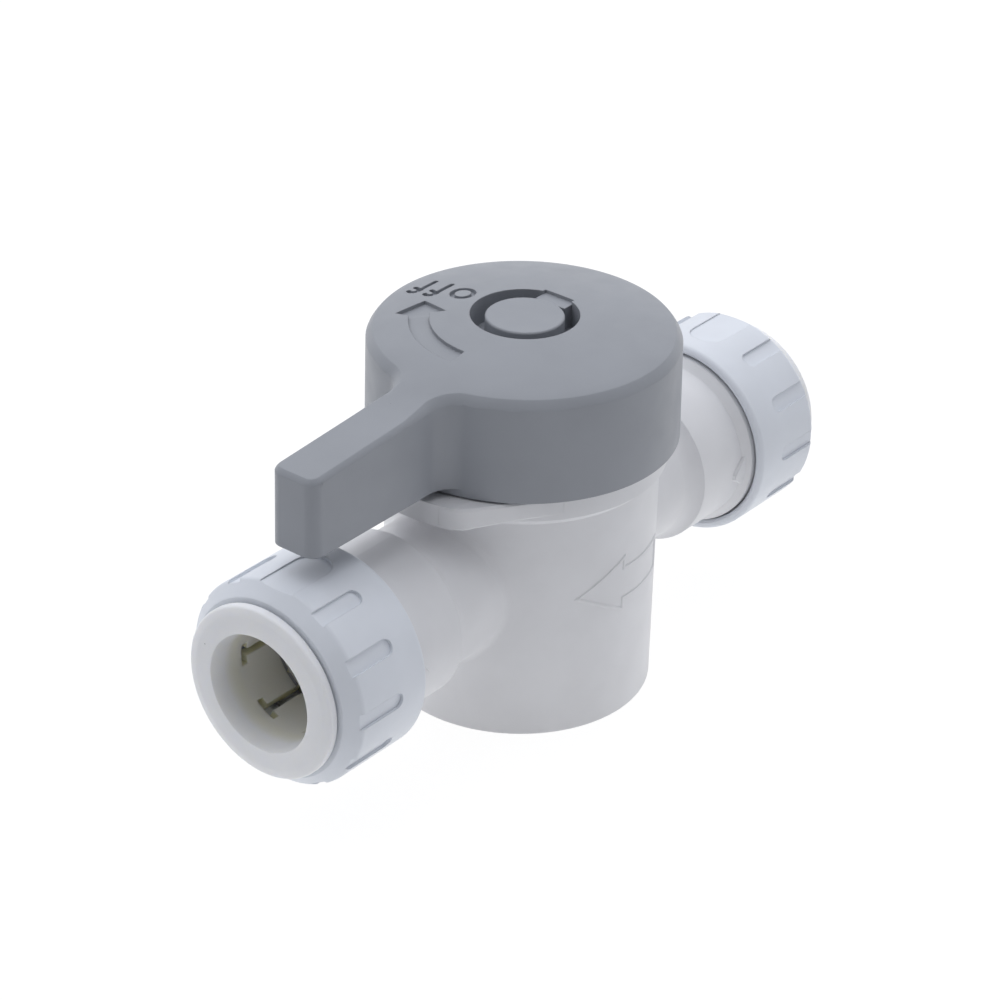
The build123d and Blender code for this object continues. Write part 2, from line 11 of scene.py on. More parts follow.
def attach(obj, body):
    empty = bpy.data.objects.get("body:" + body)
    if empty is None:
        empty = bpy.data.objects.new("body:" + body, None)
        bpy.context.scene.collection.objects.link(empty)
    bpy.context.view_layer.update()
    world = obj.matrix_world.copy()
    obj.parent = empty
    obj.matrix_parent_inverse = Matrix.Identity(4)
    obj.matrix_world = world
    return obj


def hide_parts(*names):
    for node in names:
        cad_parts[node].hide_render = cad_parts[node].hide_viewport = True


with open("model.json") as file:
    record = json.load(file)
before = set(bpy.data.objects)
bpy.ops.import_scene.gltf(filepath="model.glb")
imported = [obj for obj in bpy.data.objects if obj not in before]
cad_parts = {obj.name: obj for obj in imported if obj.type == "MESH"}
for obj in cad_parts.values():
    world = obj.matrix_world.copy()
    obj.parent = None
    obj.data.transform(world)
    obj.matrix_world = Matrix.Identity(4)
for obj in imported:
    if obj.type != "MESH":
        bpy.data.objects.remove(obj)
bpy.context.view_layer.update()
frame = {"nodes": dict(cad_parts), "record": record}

MM = 0.001
nodes = frame["nodes"]


# Materials: moulded plastics, rubber and metals, all from noise in object space

# Noise lies mostly between these two values
NOISE_LOW, NOISE_HIGH = 0.3, 0.7
# Plastic: its softened corners, its clouds and rougher patches, its waves, tool texture and dust
CORNER_RADIUS, CORNER_SAMPLES = 0.22 * MM, 4
CLOUD_SIZE, CLOUD_SHADE = 9 * MM, 0.03
PATCH_SIZE, PATCH_ROUGHNESS = 3 * MM, 0.05
WAVE_SIZE, WAVE_RISE, WAVE_STRENGTH = 5 * MM, 0.03 * MM, 0.25
GRAIN_SIZE, GRAIN_RISE, GRAIN_STRENGTH = 0.22 * MM, 0.01 * MM, 0.35
DUST_SPACING, DUST_RADIUS = 11 * MM, 0.11 * MM
PLASTIC_IOR = 1.48
# Rubber: its pale bloom and its pores
BLOOM_SIZE, BLOOM_SHADE, BLOOM_ROUGHNESS = 1.5 * MM, 0.03, (0.55, 0.7)
PORE_SIZE, PORE_RISE, PORE_STRENGTH = 0.3 * MM, 0.02 * MM, 0.4
# Metal: its scratches
SCRATCH_SIZE, SCRATCH_RISE, SCRATCH_STRENGTH = 0.4 * MM, 0.01 * MM, 0.3
SCRATCH_SHADE, SCRATCH_ROUGHNESS = 0.85, 0.12
# Tube sockets: height of the pipe's axis, then radius and soft edge of the bore, which gets painted shade,
# and of the collet, painted yellow for the olive inner parts and their bounce light, and where the collet's
# rim begins
PIPE_HEIGHT = 21.2 * MM
BORE_RADIUS, BORE_FADE = 8.05 * MM, 0.3 * MM
COLLET_RADIUS, COLLET_FADE = 10.0 * MM, 0.1 * MM
RIM_START, RIM_FADE = 49.0 * MM, 3.0 * MM
# Painted colours inside the sockets: the collet's yellow for the olive inner parts and their bounce light,
# and the bore's darker, warmer painted shade
SLIT_INNER_TONE_AND_BOUNCE, BORE_PAINTED_SHADE = (0.92, 0.89, 0.64), (0.90, 0.88, 0.80)
# How much light goes into the collets' natural plastic, and how far
TRANSLUCENCY, TRANSLUCENT_DEPTH = 0.6, 3 * MM
TRANSLUCENT_TINT = (1.0, 0.95, 0.8)


def new_material(name):
    """A node material with its principled shader and object coordinates ready."""
    material = bpy.data.materials.new(name)
    material.use_nodes = True
    tree = material.node_tree
    shader = tree.nodes["Principled BSDF"]
    place = tree.nodes.new("ShaderNodeTexCoord")
    return material, tree, shader, place.outputs["Object"]


def noise(tree, place, size, detail=2.0, roughness=0.5):
    """Noise whose features are about size metres across."""
    node = tree.nodes.new("ShaderNodeTexNoise")
    node.inputs["Scale"].default_value = 1.0 / size
    node.inputs["Detail"].default_value = detail
    node.inputs["Roughness"].default_value = roughness
    tree.links.new(place, node.inputs["Vector"])
    return node.outputs["Fac"]


def spread(tree, value, low, high):
    """Maps noise in its usual middle range onto low to high."""
    node = tree.nodes.new("ShaderNodeMapRange")
    node.inputs["From Min"].default_value = NOISE_LOW
    node.inputs["From Max"].default_value = NOISE_HIGH
    node.inputs["To Min"].default_value = low
    node.inputs["To Max"].default_value = high
    tree.links.new(value, node.inputs["Value"])
    return node.outputs["Result"]


def mix(tree, factor, first, second):
    """Mixes two colours, each a colour tuple or a socket."""
    node = tree.nodes.new("ShaderNodeMix")
    node.data_type = "RGBA"
    for socket, value in ((node.inputs[6], first), (node.inputs[7], second)):
        if isinstance(value, tuple):
            socket.default_value = (*value, 1.0)
        else:
            tree.links.new(value, socket)
    tree.links.new(factor, node.inputs[0])
    return node.outputs[2]


def specks(tree, place, spacing, radius):
    """Fine dust specks: 1 inside a speck and 0 elsewhere."""
    cells = tree.nodes.new("ShaderNodeTexVoronoi")
    cells.inputs["Scale"].default_value = 1.0 / spacing
    tree.links.new(place, cells.inputs["Vector"])
    inside = tree.nodes.new("ShaderNodeMath")
    inside.operation = "LESS_THAN"
    inside.inputs[1].default_value = radius / spacing
    tree.links.new(cells.outputs["Distance"], inside.inputs[0])
    return inside.outputs[0]


def bump(tree, height, distance, strength, below=None):
    """A bump from a height, laid over the one below."""
    node = tree.nodes.new("ShaderNodeBump")
    node.inputs["Distance"].default_value = distance
    node.inputs["Strength"].default_value = strength
    tree.links.new(height, node.inputs["Height"])
    if below is not None:
        tree.links.new(below, node.inputs["Normal"])
    return node.outputs["Normal"]


def inside_socket(tree, place, radius, soft):
    """1 behind a collet's rim and within the radius of the pipe's axis, fading out over the soft width."""
    parts = []
    for scale, offset, limit, fade in (
        ((0, 1, 1), (0, 0, -PIPE_HEIGHT), radius, soft),
        ((1, 0, 0), (0, 0, 0), RIM_START, RIM_FADE),
    ):
        across = tree.nodes.new("ShaderNodeVectorMath")
        across.operation = "MULTIPLY_ADD"
        across.inputs[1].default_value = scale
        across.inputs[2].default_value = offset
        tree.links.new(place, across.inputs[0])
        reach = tree.nodes.new("ShaderNodeVectorMath")
        reach.operation = "LENGTH"
        tree.links.new(across.outputs[0], reach.inputs[0])
        inside = tree.nodes.new("ShaderNodeMapRange")
        inside.inputs["From Min"].default_value = limit + fade
        inside.inputs["From Max"].default_value = limit
        tree.links.new(reach.outputs["Value"], inside.inputs["Value"])
        parts.append(inside.outputs["Result"])
    both = tree.nodes.new("ShaderNodeMath")
    both.operation = "MULTIPLY"
    tree.links.new(parts[0], both.inputs[0])
    tree.links.new(parts[1], both.inputs[1])
    return both.outputs[0]


def moulded_plastic(name, color, roughness, grain=1.0, speck=0.5, socket=False):
    """Satin moulded plastic with faint clouds, a fine tool texture and dust; in a socket, the collet gets
    painted bounce light and the bore painted shade.
    """
    material, tree, shader, place = new_material(name)
    darker = tuple(c * (1 - CLOUD_SHADE) for c in color)
    lighter = tuple(min(1.0, c * (1 + CLOUD_SHADE)) for c in color)
    clouds = noise(tree, place, CLOUD_SIZE, detail=3)
    tone_and_painted_shade = mix(tree, spread(tree, clouds, 0, 1), darker, lighter)
    dust = specks(tree, place, DUST_SPACING, DUST_RADIUS)
    dust_shade = tuple(c * speck for c in color)
    if socket:
        # Painted light in a socket: the collet's yellow bounce from the olive inner parts, then the bore's
        # darker, warmer painted shade
        tone_and_painted_shade = mix(tree, inside_socket(tree, place, COLLET_RADIUS, COLLET_FADE), tone_and_painted_shade, SLIT_INNER_TONE_AND_BOUNCE)
        tone_and_painted_shade = mix(tree, inside_socket(tree, place, BORE_RADIUS, BORE_FADE), tone_and_painted_shade, BORE_PAINTED_SHADE)
    tree.links.new(mix(tree, dust, tone_and_painted_shade, dust_shade), shader.inputs["Base Color"])
    patches = noise(tree, place, PATCH_SIZE, detail=3)
    smooth, rough = roughness - PATCH_ROUGHNESS, roughness + PATCH_ROUGHNESS
    tree.links.new(spread(tree, patches, smooth, rough), shader.inputs["Roughness"])
    corners = tree.nodes.new("ShaderNodeBevel")
    corners.samples = CORNER_SAMPLES
    corners.inputs["Radius"].default_value = CORNER_RADIUS
    grains = noise(tree, place, GRAIN_SIZE, detail=2)
    fine = bump(tree, grains, GRAIN_RISE, GRAIN_STRENGTH * grain, below=corners.outputs[0])
    wavy = bump(tree, noise(tree, place, WAVE_SIZE, detail=1), WAVE_RISE, WAVE_STRENGTH, below=fine)
    tree.links.new(wavy, shader.inputs["Normal"])
    shader.inputs["IOR"].default_value = PLASTIC_IOR
    return material


def rubber(name, color):
    """Moulded black rubber with a dull bloom."""
    material, tree, shader, place = new_material(name)
    bloom = noise(tree, place, BLOOM_SIZE, detail=4)
    pale = tuple(c + BLOOM_SHADE for c in color)
    tree.links.new(mix(tree, spread(tree, bloom, 0, 1), color, pale), shader.inputs["Base Color"])
    tree.links.new(spread(tree, bloom, *BLOOM_ROUGHNESS), shader.inputs["Roughness"])
    pores = noise(tree, place, PORE_SIZE)
    tree.links.new(bump(tree, pores, PORE_RISE, PORE_STRENGTH), shader.inputs["Normal"])
    return material


def metal(name, color, roughness, stretch):
    """Metal with fine scratches; stretch draws them out along each axis."""
    material, tree, shader, place = new_material(name)
    mapping = tree.nodes.new("ShaderNodeMapping")
    mapping.inputs["Scale"].default_value = stretch
    tree.links.new(place, mapping.inputs["Vector"])
    scratches = noise(tree, mapping.outputs["Vector"], SCRATCH_SIZE, detail=4)
    dull = tuple(c * SCRATCH_SHADE for c in color)
    tree.links.new(mix(tree, spread(tree, scratches, 0, 1), dull, color), shader.inputs["Base Color"])
    rough = spread(tree, scratches, roughness, roughness + SCRATCH_ROUGHNESS)
    tree.links.new(rough, shader.inputs["Roughness"])
    tree.links.new(bump(tree, scratches, SCRATCH_RISE, SCRATCH_STRENGTH), shader.inputs["Normal"])
    shader.inputs["Metallic"].default_value = 1.0
    return material


finishes = {
    "body_plastic": moulded_plastic("body_plastic", (0.795, 0.795, 0.810), 0.42),
    "cap_plastic": moulded_plastic("cap_plastic", (0.765, 0.795, 0.845), 0.40),
    "collet_plastic": moulded_plastic("collet_plastic", (0.928, 0.928, 0.928), 0.45, socket=True),
    "handle_plastic": moulded_plastic("handle_plastic", (0.312, 0.327, 0.357), 0.42, grain=1.6, speck=0.4),
    "inner_plastic": moulded_plastic("inner_plastic", (0.55, 0.54, 0.42), 0.50),
    "seat_plastic": moulded_plastic("seat_plastic", (0.86, 0.86, 0.86), 0.35),
    "ball_brass": metal("ball_brass", (0.72, 0.71, 0.69), 0.10, (1, 1, 1)),
    "seal_rubber": rubber("seal_rubber", (0.02, 0.02, 0.022)),
    "teeth_steel": metal("teeth_steel", (0.60, 0.60, 0.60), 0.25, (1, 6, 6)),
}


def dress(piece, finish):
    """Gives a piece one finish all over."""
    piece.data.materials.clear()
    piece.data.materials.append(finishes[finish])


collet_shader = finishes["collet_plastic"].node_tree.nodes["Principled BSDF"]
collet_shader.inputs["Subsurface Weight"].default_value = TRANSLUCENCY
collet_shader.inputs["Subsurface Radius"].default_value = TRANSLUCENT_TINT
collet_shader.inputs["Subsurface Scale"].default_value = TRANSLUCENT_DEPTH

for subpart in frame["record"]["subparts"]:
    dress(nodes[subpart["node"]], subpart["material_slot"])


# Shapes that run along a line: engraved strokes, raised lines and markers

DOWN = Vector((0, 0, -1))
# Rays towards a surface start this far out
OUTSIDE = 0.1
SMOOTH_ANGLE = radians(22)
JOIN_DISTANCE = 0.001 * MM
ROUND_END = (radians(55), radians(22))


def surface_of(node):
    """Search tree of a CAD node's faces."""
    mesh = nodes[node].data
    faces = [tuple(face.vertices) for face in mesh.polygons]
    return BVHTree.FromPolygons([vert.co for vert in mesh.vertices], faces)


def surface_point(tree, start, toward, lift):
    """Where a straight line meets a surface, lifted back off it."""
    return tree.ray_cast(start, toward)[0] - toward * lift


def new_piece(name, form):
    """An object from a bmesh, with its normals turned outward."""
    bmesh.ops.recalc_face_normals(form, faces=form.faces)
    mesh = bpy.data.meshes.new(name)
    form.to_mesh(mesh)
    form.free()
    piece = bpy.data.objects.new(name, mesh)
    bpy.context.scene.collection.objects.link(piece)
    return piece


def shade(piece):
    """Smooth shading with crisp corners."""
    piece.data.shade_smooth()
    piece.data.set_sharp_from_angle(angle=SMOOTH_ANGLE)
    normals = piece.modifiers.new("even normals", "WEIGHTED_NORMAL")
    normals.keep_sharp = True


def strip(name, rows, closed=False):
    """A solid whose section's corners run along the rows, closed into a ring or capped at both ends."""
    form = bmesh.new()
    lines = [[form.verts.new(point) for point in row] for row in rows]
    count = len(rows[0])
    for i in range(count if closed else count - 1):
        j = (i + 1) % count
        for k, line in enumerate(lines):
            beside = lines[(k + 1) % len(lines)]
            form.faces.new((line[i], line[j], beside[j], beside[i]))
    if not closed:
        form.faces.new([line[0] for line in lines])
        form.faces.new([line[-1] for line in reversed(lines)])
    bmesh.ops.triangulate(form, faces=form.faces)
    return new_piece(name, form)


def arc(centre, radius, start, end, steps):
    """Points along an arc, its angles in degrees."""
    angles = [radians(start + (end - start) * i / steps) for i in range(steps + 1)]
    return [centre + radius * Vector((cos(a), sin(a))) for a in angles]


def stroke_sides(path, width):
    """Both sides of a stroke with round ends along a path."""
    half = width / 2
    sections = []
    for i, point in enumerate(path):
        along = (path[min(i + 1, len(path) - 1)] - path[max(i - 1, 0)]).normalized()
        sections.append((point, along, half))
    for end, sense in ((0, -1), (-1, 1)):
        point, along, _ = sections[end]
        caps = [(point + along * sense * half * cos(a), along, half * sin(a)) for a in ROUND_END]
        sections = caps[::-1] + sections if sense < 0 else sections + caps
    left = [point + Vector((-along.y, along.x)) * side for point, along, side in sections]
    right = [point - Vector((-along.y, along.x)) * side for point, along, side in sections]
    return left, right


def offset_outline(corners, distance):
    """Corners of a closed outline moved sideways, its corners kept sharp."""
    moved = []
    for i, corner in enumerate(corners):
        before = (corner - corners[i - 1]).normalized()
        after = (corners[(i + 1) % len(corners)] - corner).normalized()
        first, second = Vector((-before.y, before.x)), Vector((-after.y, after.x))
        moved.append(corner + (first + second) * distance / (1 + first.dot(second)))
    return moved


def divided(corners, counts):
    """Points along a closed outline, each edge divided into its own count of steps."""
    points = []
    for i, count in enumerate(counts):
        end = corners[(i + 1) % len(corners)]
        points += [corners[i].lerp(end, k / count) for k in range(count)]
    return points


# Handle: the word off and a curved arrow sunk into its domed top

# Plan of the marks in millimetres and degrees; their depths are in metres
LETTER_STROKE = 0.72
LETTER_DEPTH = 0.55 * MM
LETTER_RING = 1.5
LETTER_STEMS = (14.1, 17.0)
LETTER_FOOT, LETTER_HOOK_START, LETTER_HOOK = 1.55, -2.2, 0.77
RING_CENTRE, RING_ARC = (-0.25, 10.7), (0, 350, 35)
HOOK_ARC = (270, 135, 9)
# The crossbar's ends: place along the stem and distance beside it
BAR_ENDS = ((-1.85, -0.1), (-1.4, 1.2))
ARROW_DEPTH = 0.5 * MM
ARROW_INNER, ARROW_OUTER = 13.0, 15.8
ARROW_START, ARROW_NECK = 180.5, 124.0
ARROW_NECK_CORNERS = ((-7.2, 10.6), (-9.2, 12.85))
ARROW_BARBS = ((-5.8, 9.1), (-9.3, 15.1))
ARROW_TIP, ARROW_BLUNT = (-4.6, 13.8), 0.01
ARROW_STEPS = 24
CUT_HEIGHT = 1.0 * MM
# Top edge: as rounded in the CAD model, then its wider curve round the hub and along the lever
CAD_EDGE_RADIUS = 1.4 * MM
HUB_EDGE_RADIUS, LEVER_EDGE_RADIUS = 3.1 * MM, 1.72 * MM
EDGE_SLOPE_TOP, EDGE_SLOPE_WALL = radians(34), radians(66)
HUB_REACH, LEVER_REACH = 22.5 * MM, 30.0 * MM
# What the new edge moves: how far in from the wall, how far up or down, and the lowest place
EDGE_REACH = 4.4 * MM
EDGE_BAND = 2.6 * MM
EDGE_LOWEST = 47.0 * MM
# The top's slope between these two distances from the wall runs on out to the edge
SLOPE_AT = (1.6 * MM, 2.2 * MM)
# How far up the wall's, the edge's and the top's faces look
WALL_TILT, EDGE_TILT, TOP_TILT = 0.04, 0.6, 0.03
WALL_NEAR = 0.03 * MM
LINE_STEP = 0.05 * MM


def letter_strokes():
    """Sides of the strokes of off, read from the stem outwards; each is (left, right, closed)."""
    centre = Vector(RING_CENTRE)
    ring = [arc(centre, LETTER_RING + side * LETTER_STROKE / 2, *RING_ARC) for side in (-1, 1)]
    strokes = [(*ring, True)]
    for line in LETTER_STEMS:
        hook = arc(Vector((LETTER_HOOK_START, line + LETTER_HOOK)), LETTER_HOOK, *HOOK_ARC)
        strokes.append((*stroke_sides([Vector((LETTER_FOOT, line))] + hook, LETTER_STROKE), False))
        bar = [Vector((along, line + beside)) for along, beside in BAR_ENDS]
        strokes.append((*stroke_sides(bar, LETTER_STROKE), False))
    return strokes


def arrow_parts():
    """Sides of the curved arrow's shaft and of its head."""
    centre = Vector((0, 0))
    radii = (ARROW_INNER, ARROW_OUTER)
    shaft = [arc(centre, radius, ARROW_START, ARROW_NECK, ARROW_STEPS) for radius in radii]
    tip = Vector(ARROW_TIP)
    head = [
        [Vector(neck), Vector(barb), tip + (Vector(barb) - tip) * ARROW_BLUNT]
        for neck, barb in zip(ARROW_NECK_CORNERS, ARROW_BARBS)
    ]
    return [(*shaft, False), (*head, False)]


def height_at(top, spot):
    """Height of the handle's top over a point of its plan."""
    return top.ray_cast(Vector((spot.x, spot.y, OUTSIDE)), DOWN)[0].z


def wall_line(form):
    """Points along the line where the rounded top edge meets the side wall."""
    points = []
    for edge in form.edges:
        if len(edge.link_faces) != 2 or edge.verts[0].co.z < EDGE_LOWEST:
            continue
        tilts = sorted(face.normal.z for face in edge.link_faces)
        if abs(tilts[0]) < WALL_TILT < tilts[1] and tilts[1] < EDGE_TILT:
            start, end = edge.verts[0].co, edge.verts[1].co
            count = max(1, round((end - start).length / LINE_STEP))
            points += [start.lerp(end, i / count) for i in range(count + 1)]
    return points


def crisp_edge(form, top):
    """Turns the rounded top edge into a flatter curve that meets the top and the side wall in creases."""
    line = wall_line(form)
    tree = KDTree(len(line))
    for i, point in enumerate(line):
        tree.insert((point.x, point.y, 0), i)
    tree.balance()
    moves = []
    for vert in form.verts:
        if vert.co.z < EDGE_LOWEST or vert.normal.z < TOP_TILT:
            continue
        wall, index, distance = tree.find((vert.co.x, vert.co.y, 0))
        if distance > EDGE_REACH or abs(vert.co.z - line[index].z) > EDGE_BAND:
            continue
        inward = Vector((vert.co.x, vert.co.y, 0)) - wall
        if distance < WALL_NEAR:
            inward = -Vector((vert.normal.x, vert.normal.y, 0))
        inward.normalize()
        share = min(1, max(0, (wall.length - HUB_REACH) / (LEVER_REACH - HUB_REACH)))
        share = share * share * (3 - 2 * share)
        radius = HUB_EDGE_RADIUS + (LEVER_EDGE_RADIUS - HUB_EDGE_RADIUS) * share
        width = radius * (sin(EDGE_SLOPE_WALL) - sin(EDGE_SLOPE_TOP))
        if distance < CAD_EDGE_RADIUS:
            turned = asin(1 - distance / CAD_EDGE_RADIUS) / (pi / 2)
            slope = EDGE_SLOPE_TOP + (EDGE_SLOPE_WALL - EDGE_SLOPE_TOP) * turned
            moved = width - radius * (sin(slope) - sin(EDGE_SLOPE_TOP))
            drop = radius * (cos(EDGE_SLOPE_TOP) - cos(slope))
        else:
            beyond = distance - CAD_EDGE_RADIUS
            moved = width + beyond * (EDGE_REACH - width) / (EDGE_REACH - CAD_EDGE_RADIUS)
            drop = 0
        first, second = [height_at(top, wall + inward * reach) for reach in SLOPE_AT]
        spot = wall + inward * moved
        height = height_at(top, spot)
        if moved < SLOPE_AT[0]:
            height = first - (second - first) * (SLOPE_AT[0] - moved) / (SLOPE_AT[1] - SLOPE_AT[0])
        moves.append((vert, Vector((spot.x, spot.y, height - drop))))
    for vert, place in moves:
        vert.co = place


def engraved_handle():
    """The handle with its crisper edge and its marks cut into the top."""
    top = surface_of("handle")
    form = bmesh.new()
    form.from_mesh(nodes["handle"].data)
    bmesh.ops.remove_doubles(form, verts=form.verts, dist=JOIN_DISTANCE)
    form.normal_update()
    crisp_edge(form, top)
    mesh = bpy.data.meshes.new("engraved_handle")
    mesh.from_pydata([v.co[:] for v in form.verts], [], [[v.index for v in f.verts] for f in form.faces])
    form.free()
    piece = bpy.data.objects.new("engraved_handle", mesh)
    bpy.context.scene.collection.objects.link(piece)
    cutters = []
    marks = [(part, LETTER_DEPTH) for part in letter_strokes()]
    marks += [(part, ARROW_DEPTH) for part in arrow_parts()]
    for (left, right, closed), depth in marks:
        rows = [
            [surface_point(top, Vector((p.x * MM, p.y * MM, OUTSIDE)), DOWN, lift) for p in line]
            for line, lift in ((left, -depth), (left, CUT_HEIGHT), (right, CUT_HEIGHT), (right, -depth))
        ]
        cutter = strip("cutter", rows, closed)
        cutters.append(cutter)
        cut = piece.modifiers.new("engraving", "BOOLEAN")
        cut.operation = "DIFFERENCE"
        cut.solver = "EXACT"
        cut.object = cutter
    bpy.context.view_layer.update()
    depsgraph = bpy.context.evaluated_depsgraph_get()
    piece.data = bpy.data.meshes.new_from_object(piece.evaluated_get(depsgraph))
    piece.modifiers.clear()
    for cutter in cutters:
        bpy.data.objects.remove(cutter)
    shade(piece)
    dress(piece, "handle_plastic")
    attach(piece, "handle_assembly")
    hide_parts("handle")


# Barrel: raised outline of an arrow along the flow, at the height of the pipe's axis

FLOW_TIP, FLOW_NECK, FLOW_TAIL = -8.9, -1.0, 8.9
FLOW_HEAD_HALF, FLOW_SHAFT_HALF = 4.15, 2.4
FLOW_LINE, FLOW_LINE_TOP, FLOW_RISE = 0.95, 0.3, 0.15
FLOW_STEP = 0.8
BARREL_RADIUS = 19.05
# How deep an added piece's foot lies in the surface that carries it
SUNK = 0.2


def flow_arrow():
    """The arrow on the barrel's -Y side, its tip towards -X."""
    barrel = surface_of("body")
    half = [(FLOW_TIP, 0), (FLOW_NECK, FLOW_HEAD_HALF)]
    half += [(FLOW_NECK, FLOW_SHAFT_HALF), (FLOW_TAIL, FLOW_SHAFT_HALF)]
    corners = [Vector(point) for point in half + [(x, -y) for x, y in half[:0:-1]]]
    counts = []
    for i, corner in enumerate(corners):
        length = (corners[(i + 1) % len(corners)] - corner).length
        counts.append(max(1, round(length / FLOW_STEP)))
    section = (
        (FLOW_LINE, -SUNK),
        (FLOW_LINE_TOP, FLOW_RISE),
        (-FLOW_LINE_TOP, FLOW_RISE),
        (-FLOW_LINE, -SUNK),
    )
    rows = []
    for side, lift in section:
        row = []
        for point in divided(offset_outline(corners, side / 2), counts):
            angle = -pi / 2 + point.x / BARREL_RADIUS
            outward = Vector((cos(angle), sin(angle), 0))
            start = outward * OUTSIDE + Vector((0, 0, PIPE_HEIGHT + point.y * MM))
            row.append(surface_point(barrel, start, -outward, lift * MM))
        rows.append(row)
    piece = strip("flow_arrow", rows, closed=True)
    shade(piece)
    dress(piece, "body_plastic")
    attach(piece, "valve_body")


# Sleeves: a raised wedge beside each cap that marks where its lock starts

LOCK_WIDE, LOCK_NARROW = (171, 196), (183, 188)
LOCK_OUTER, LOCK_INNER = 37.1, 34.3
LOCK_RISE, LOCK_SLOPE, LOCK_INSET = 0.5, 0.25, 1
LOCK_STEPS = 8


def lock_markers():
    """One wedge on the -Y side of each sleeve, wide towards the cap."""
    body = surface_of("body")
    for name, side in (("near", -1), ("far", 1)):
        rows = []
        edges = (
            (LOCK_WIDE, LOCK_OUTER, -SUNK, 0),
            (LOCK_WIDE, LOCK_OUTER - LOCK_SLOPE, LOCK_RISE, LOCK_INSET),
            (LOCK_NARROW, LOCK_INNER + LOCK_SLOPE, LOCK_RISE, LOCK_INSET),
            (LOCK_NARROW, LOCK_INNER, -SUNK, 0),
        )
        for (start, end), distance, lift, inset in edges:
            row = []
            for i in range(LOCK_STEPS + 1):
                angle = radians(start + inset + (end - start - 2 * inset) * i / LOCK_STEPS)
                outward = Vector((0, cos(angle), sin(angle)))
                start_point = Vector((side * LOCK_INNER * MM, 0, PIPE_HEIGHT)) + outward * OUTSIDE
                level = surface_point(body, start_point, -outward, lift * MM)
                row.append(Vector((side * distance * MM, level.y, level.z)))
            rows.append(row)
        piece = strip(name + "_lock_marker", rows)
        shade(piece)
        dress(piece, "body_plastic")
        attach(piece, "valve_body")


# Flange: the stop ear's sides run on in straight webs that meet the flange's rim

EAR_CORNER = (-23.9, -7.9)
EAR_REACH, EAR_START = 24.7, 168
FLANGE_RADIUS = 20.2
WEB_BOTTOM, WEB_TOP = 34.99, 38.29
WEB_EDGE, WEB_INNER = 0.3, 19.7
WEB_ROUND = 2.4
WEB_STEPS = 8
# The web's underside rises by the lift between these two steps
WEB_LIFT, LIFT_START, LIFT_END = 0.6, 6, 12


def ear_webs():
    """A web on each side of the ear, from its rounded corner to where it touches the rim."""
    corner = Vector(EAR_CORNER)
    end_angle = atan2(corner.y, corner.x) + acos(FLANGE_RADIUS / corner.length)
    end = FLANGE_RADIUS * Vector((cos(end_angle), sin(end_angle)))
    start = EAR_REACH * Vector((cos(radians(-EAR_START)), sin(radians(-EAR_START))))
    straight = corner + (end - corner).normalized() * WEB_ROUND
    outline = []
    for i in range(WEB_STEPS + 1):
        t = i / WEB_STEPS
        outline.append(start * (1 - t) ** 2 + corner * 2 * t * (1 - t) + straight * t * t)
    outline += [straight.lerp(end, i / WEB_STEPS) for i in range(1, WEB_STEPS + 1)]
    for name, side in (("front", 1), ("back", -1)):
        rows = []
        for inset, height, lift in (
            (None, WEB_BOTTOM, WEB_LIFT),
            (WEB_EDGE, WEB_BOTTOM, WEB_LIFT),
            (0, WEB_BOTTOM + WEB_EDGE, WEB_LIFT),
            (0, WEB_TOP - WEB_EDGE, 0),
            (WEB_EDGE, WEB_TOP, 0),
            (None, WEB_TOP, 0),
        ):
            row = []
            for i, point in enumerate(outline):
                reach = WEB_INNER if inset is None else point.length - inset
                spot = point.normalized() * reach
                share = min(1, max(0, i - LIFT_START) / (LIFT_END - LIFT_START))
                row.append(Vector((spot.x, side * spot.y, height + lift * share)) * MM)
            rows.append(row)
        piece = strip("ear_web_" + name, rows)
        shade(piece)
        dress(piece, "body_plastic")
        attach(piece, "valve_body")


engraved_handle()
flow_arrow()
lock_markers()
ear_webs()


# Floor and light: a white studio, brightest behind and above, with a cool cast

CAMERA_AZIMUTH = radians(-51.49)
CAMERA_ELEVATION = radians(29.88)
CAMERA_ROLL = radians(1.149)
LIGHT_TINT = (0.965, 0.985, 1.04)
# The floor: its reach, its shade, its glow and the pool that the glow fills, then how the camera sees it
FLOOR_REACH, FLOOR_SEGMENTS = 3.0, 64
FLOOR_SHADE, FLOOR_GLOW = 0.75, 0.40
POOL_INNER, POOL_OUTER = 35 * MM, 110 * MM
SEEN_SHADE, SEEN_GLOW = 0.12, 0.93
# Each light: its turn from the camera's side and its elevation in degrees, its sharpness, its strength
LIGHTS = {
    "overhead": (0, 90, 6, 1.18),
    "upper_back": (180, 45, 4, 1.48),
    "right": (90, 10, 3, 0.61),
    "upper_right": (90, 45, 4, 0.10),
    "upper_left": (-90, 45, 4, 0.88),
}


def seen_straight(tree):
    """1 for rays from the camera and for those that mirror or pass through, else 0."""
    rays = tree.nodes.new("ShaderNodeLightPath")
    total = rays.outputs["Is Camera Ray"]
    for name in ("Is Glossy Ray", "Is Transmission Ray"):
        join = tree.nodes.new("ShaderNodeMath")
        join.operation = "MAXIMUM"
        tree.links.new(total, join.inputs[0])
        tree.links.new(rays.outputs[name], join.inputs[1])
        total = join.outputs[0]
    return total


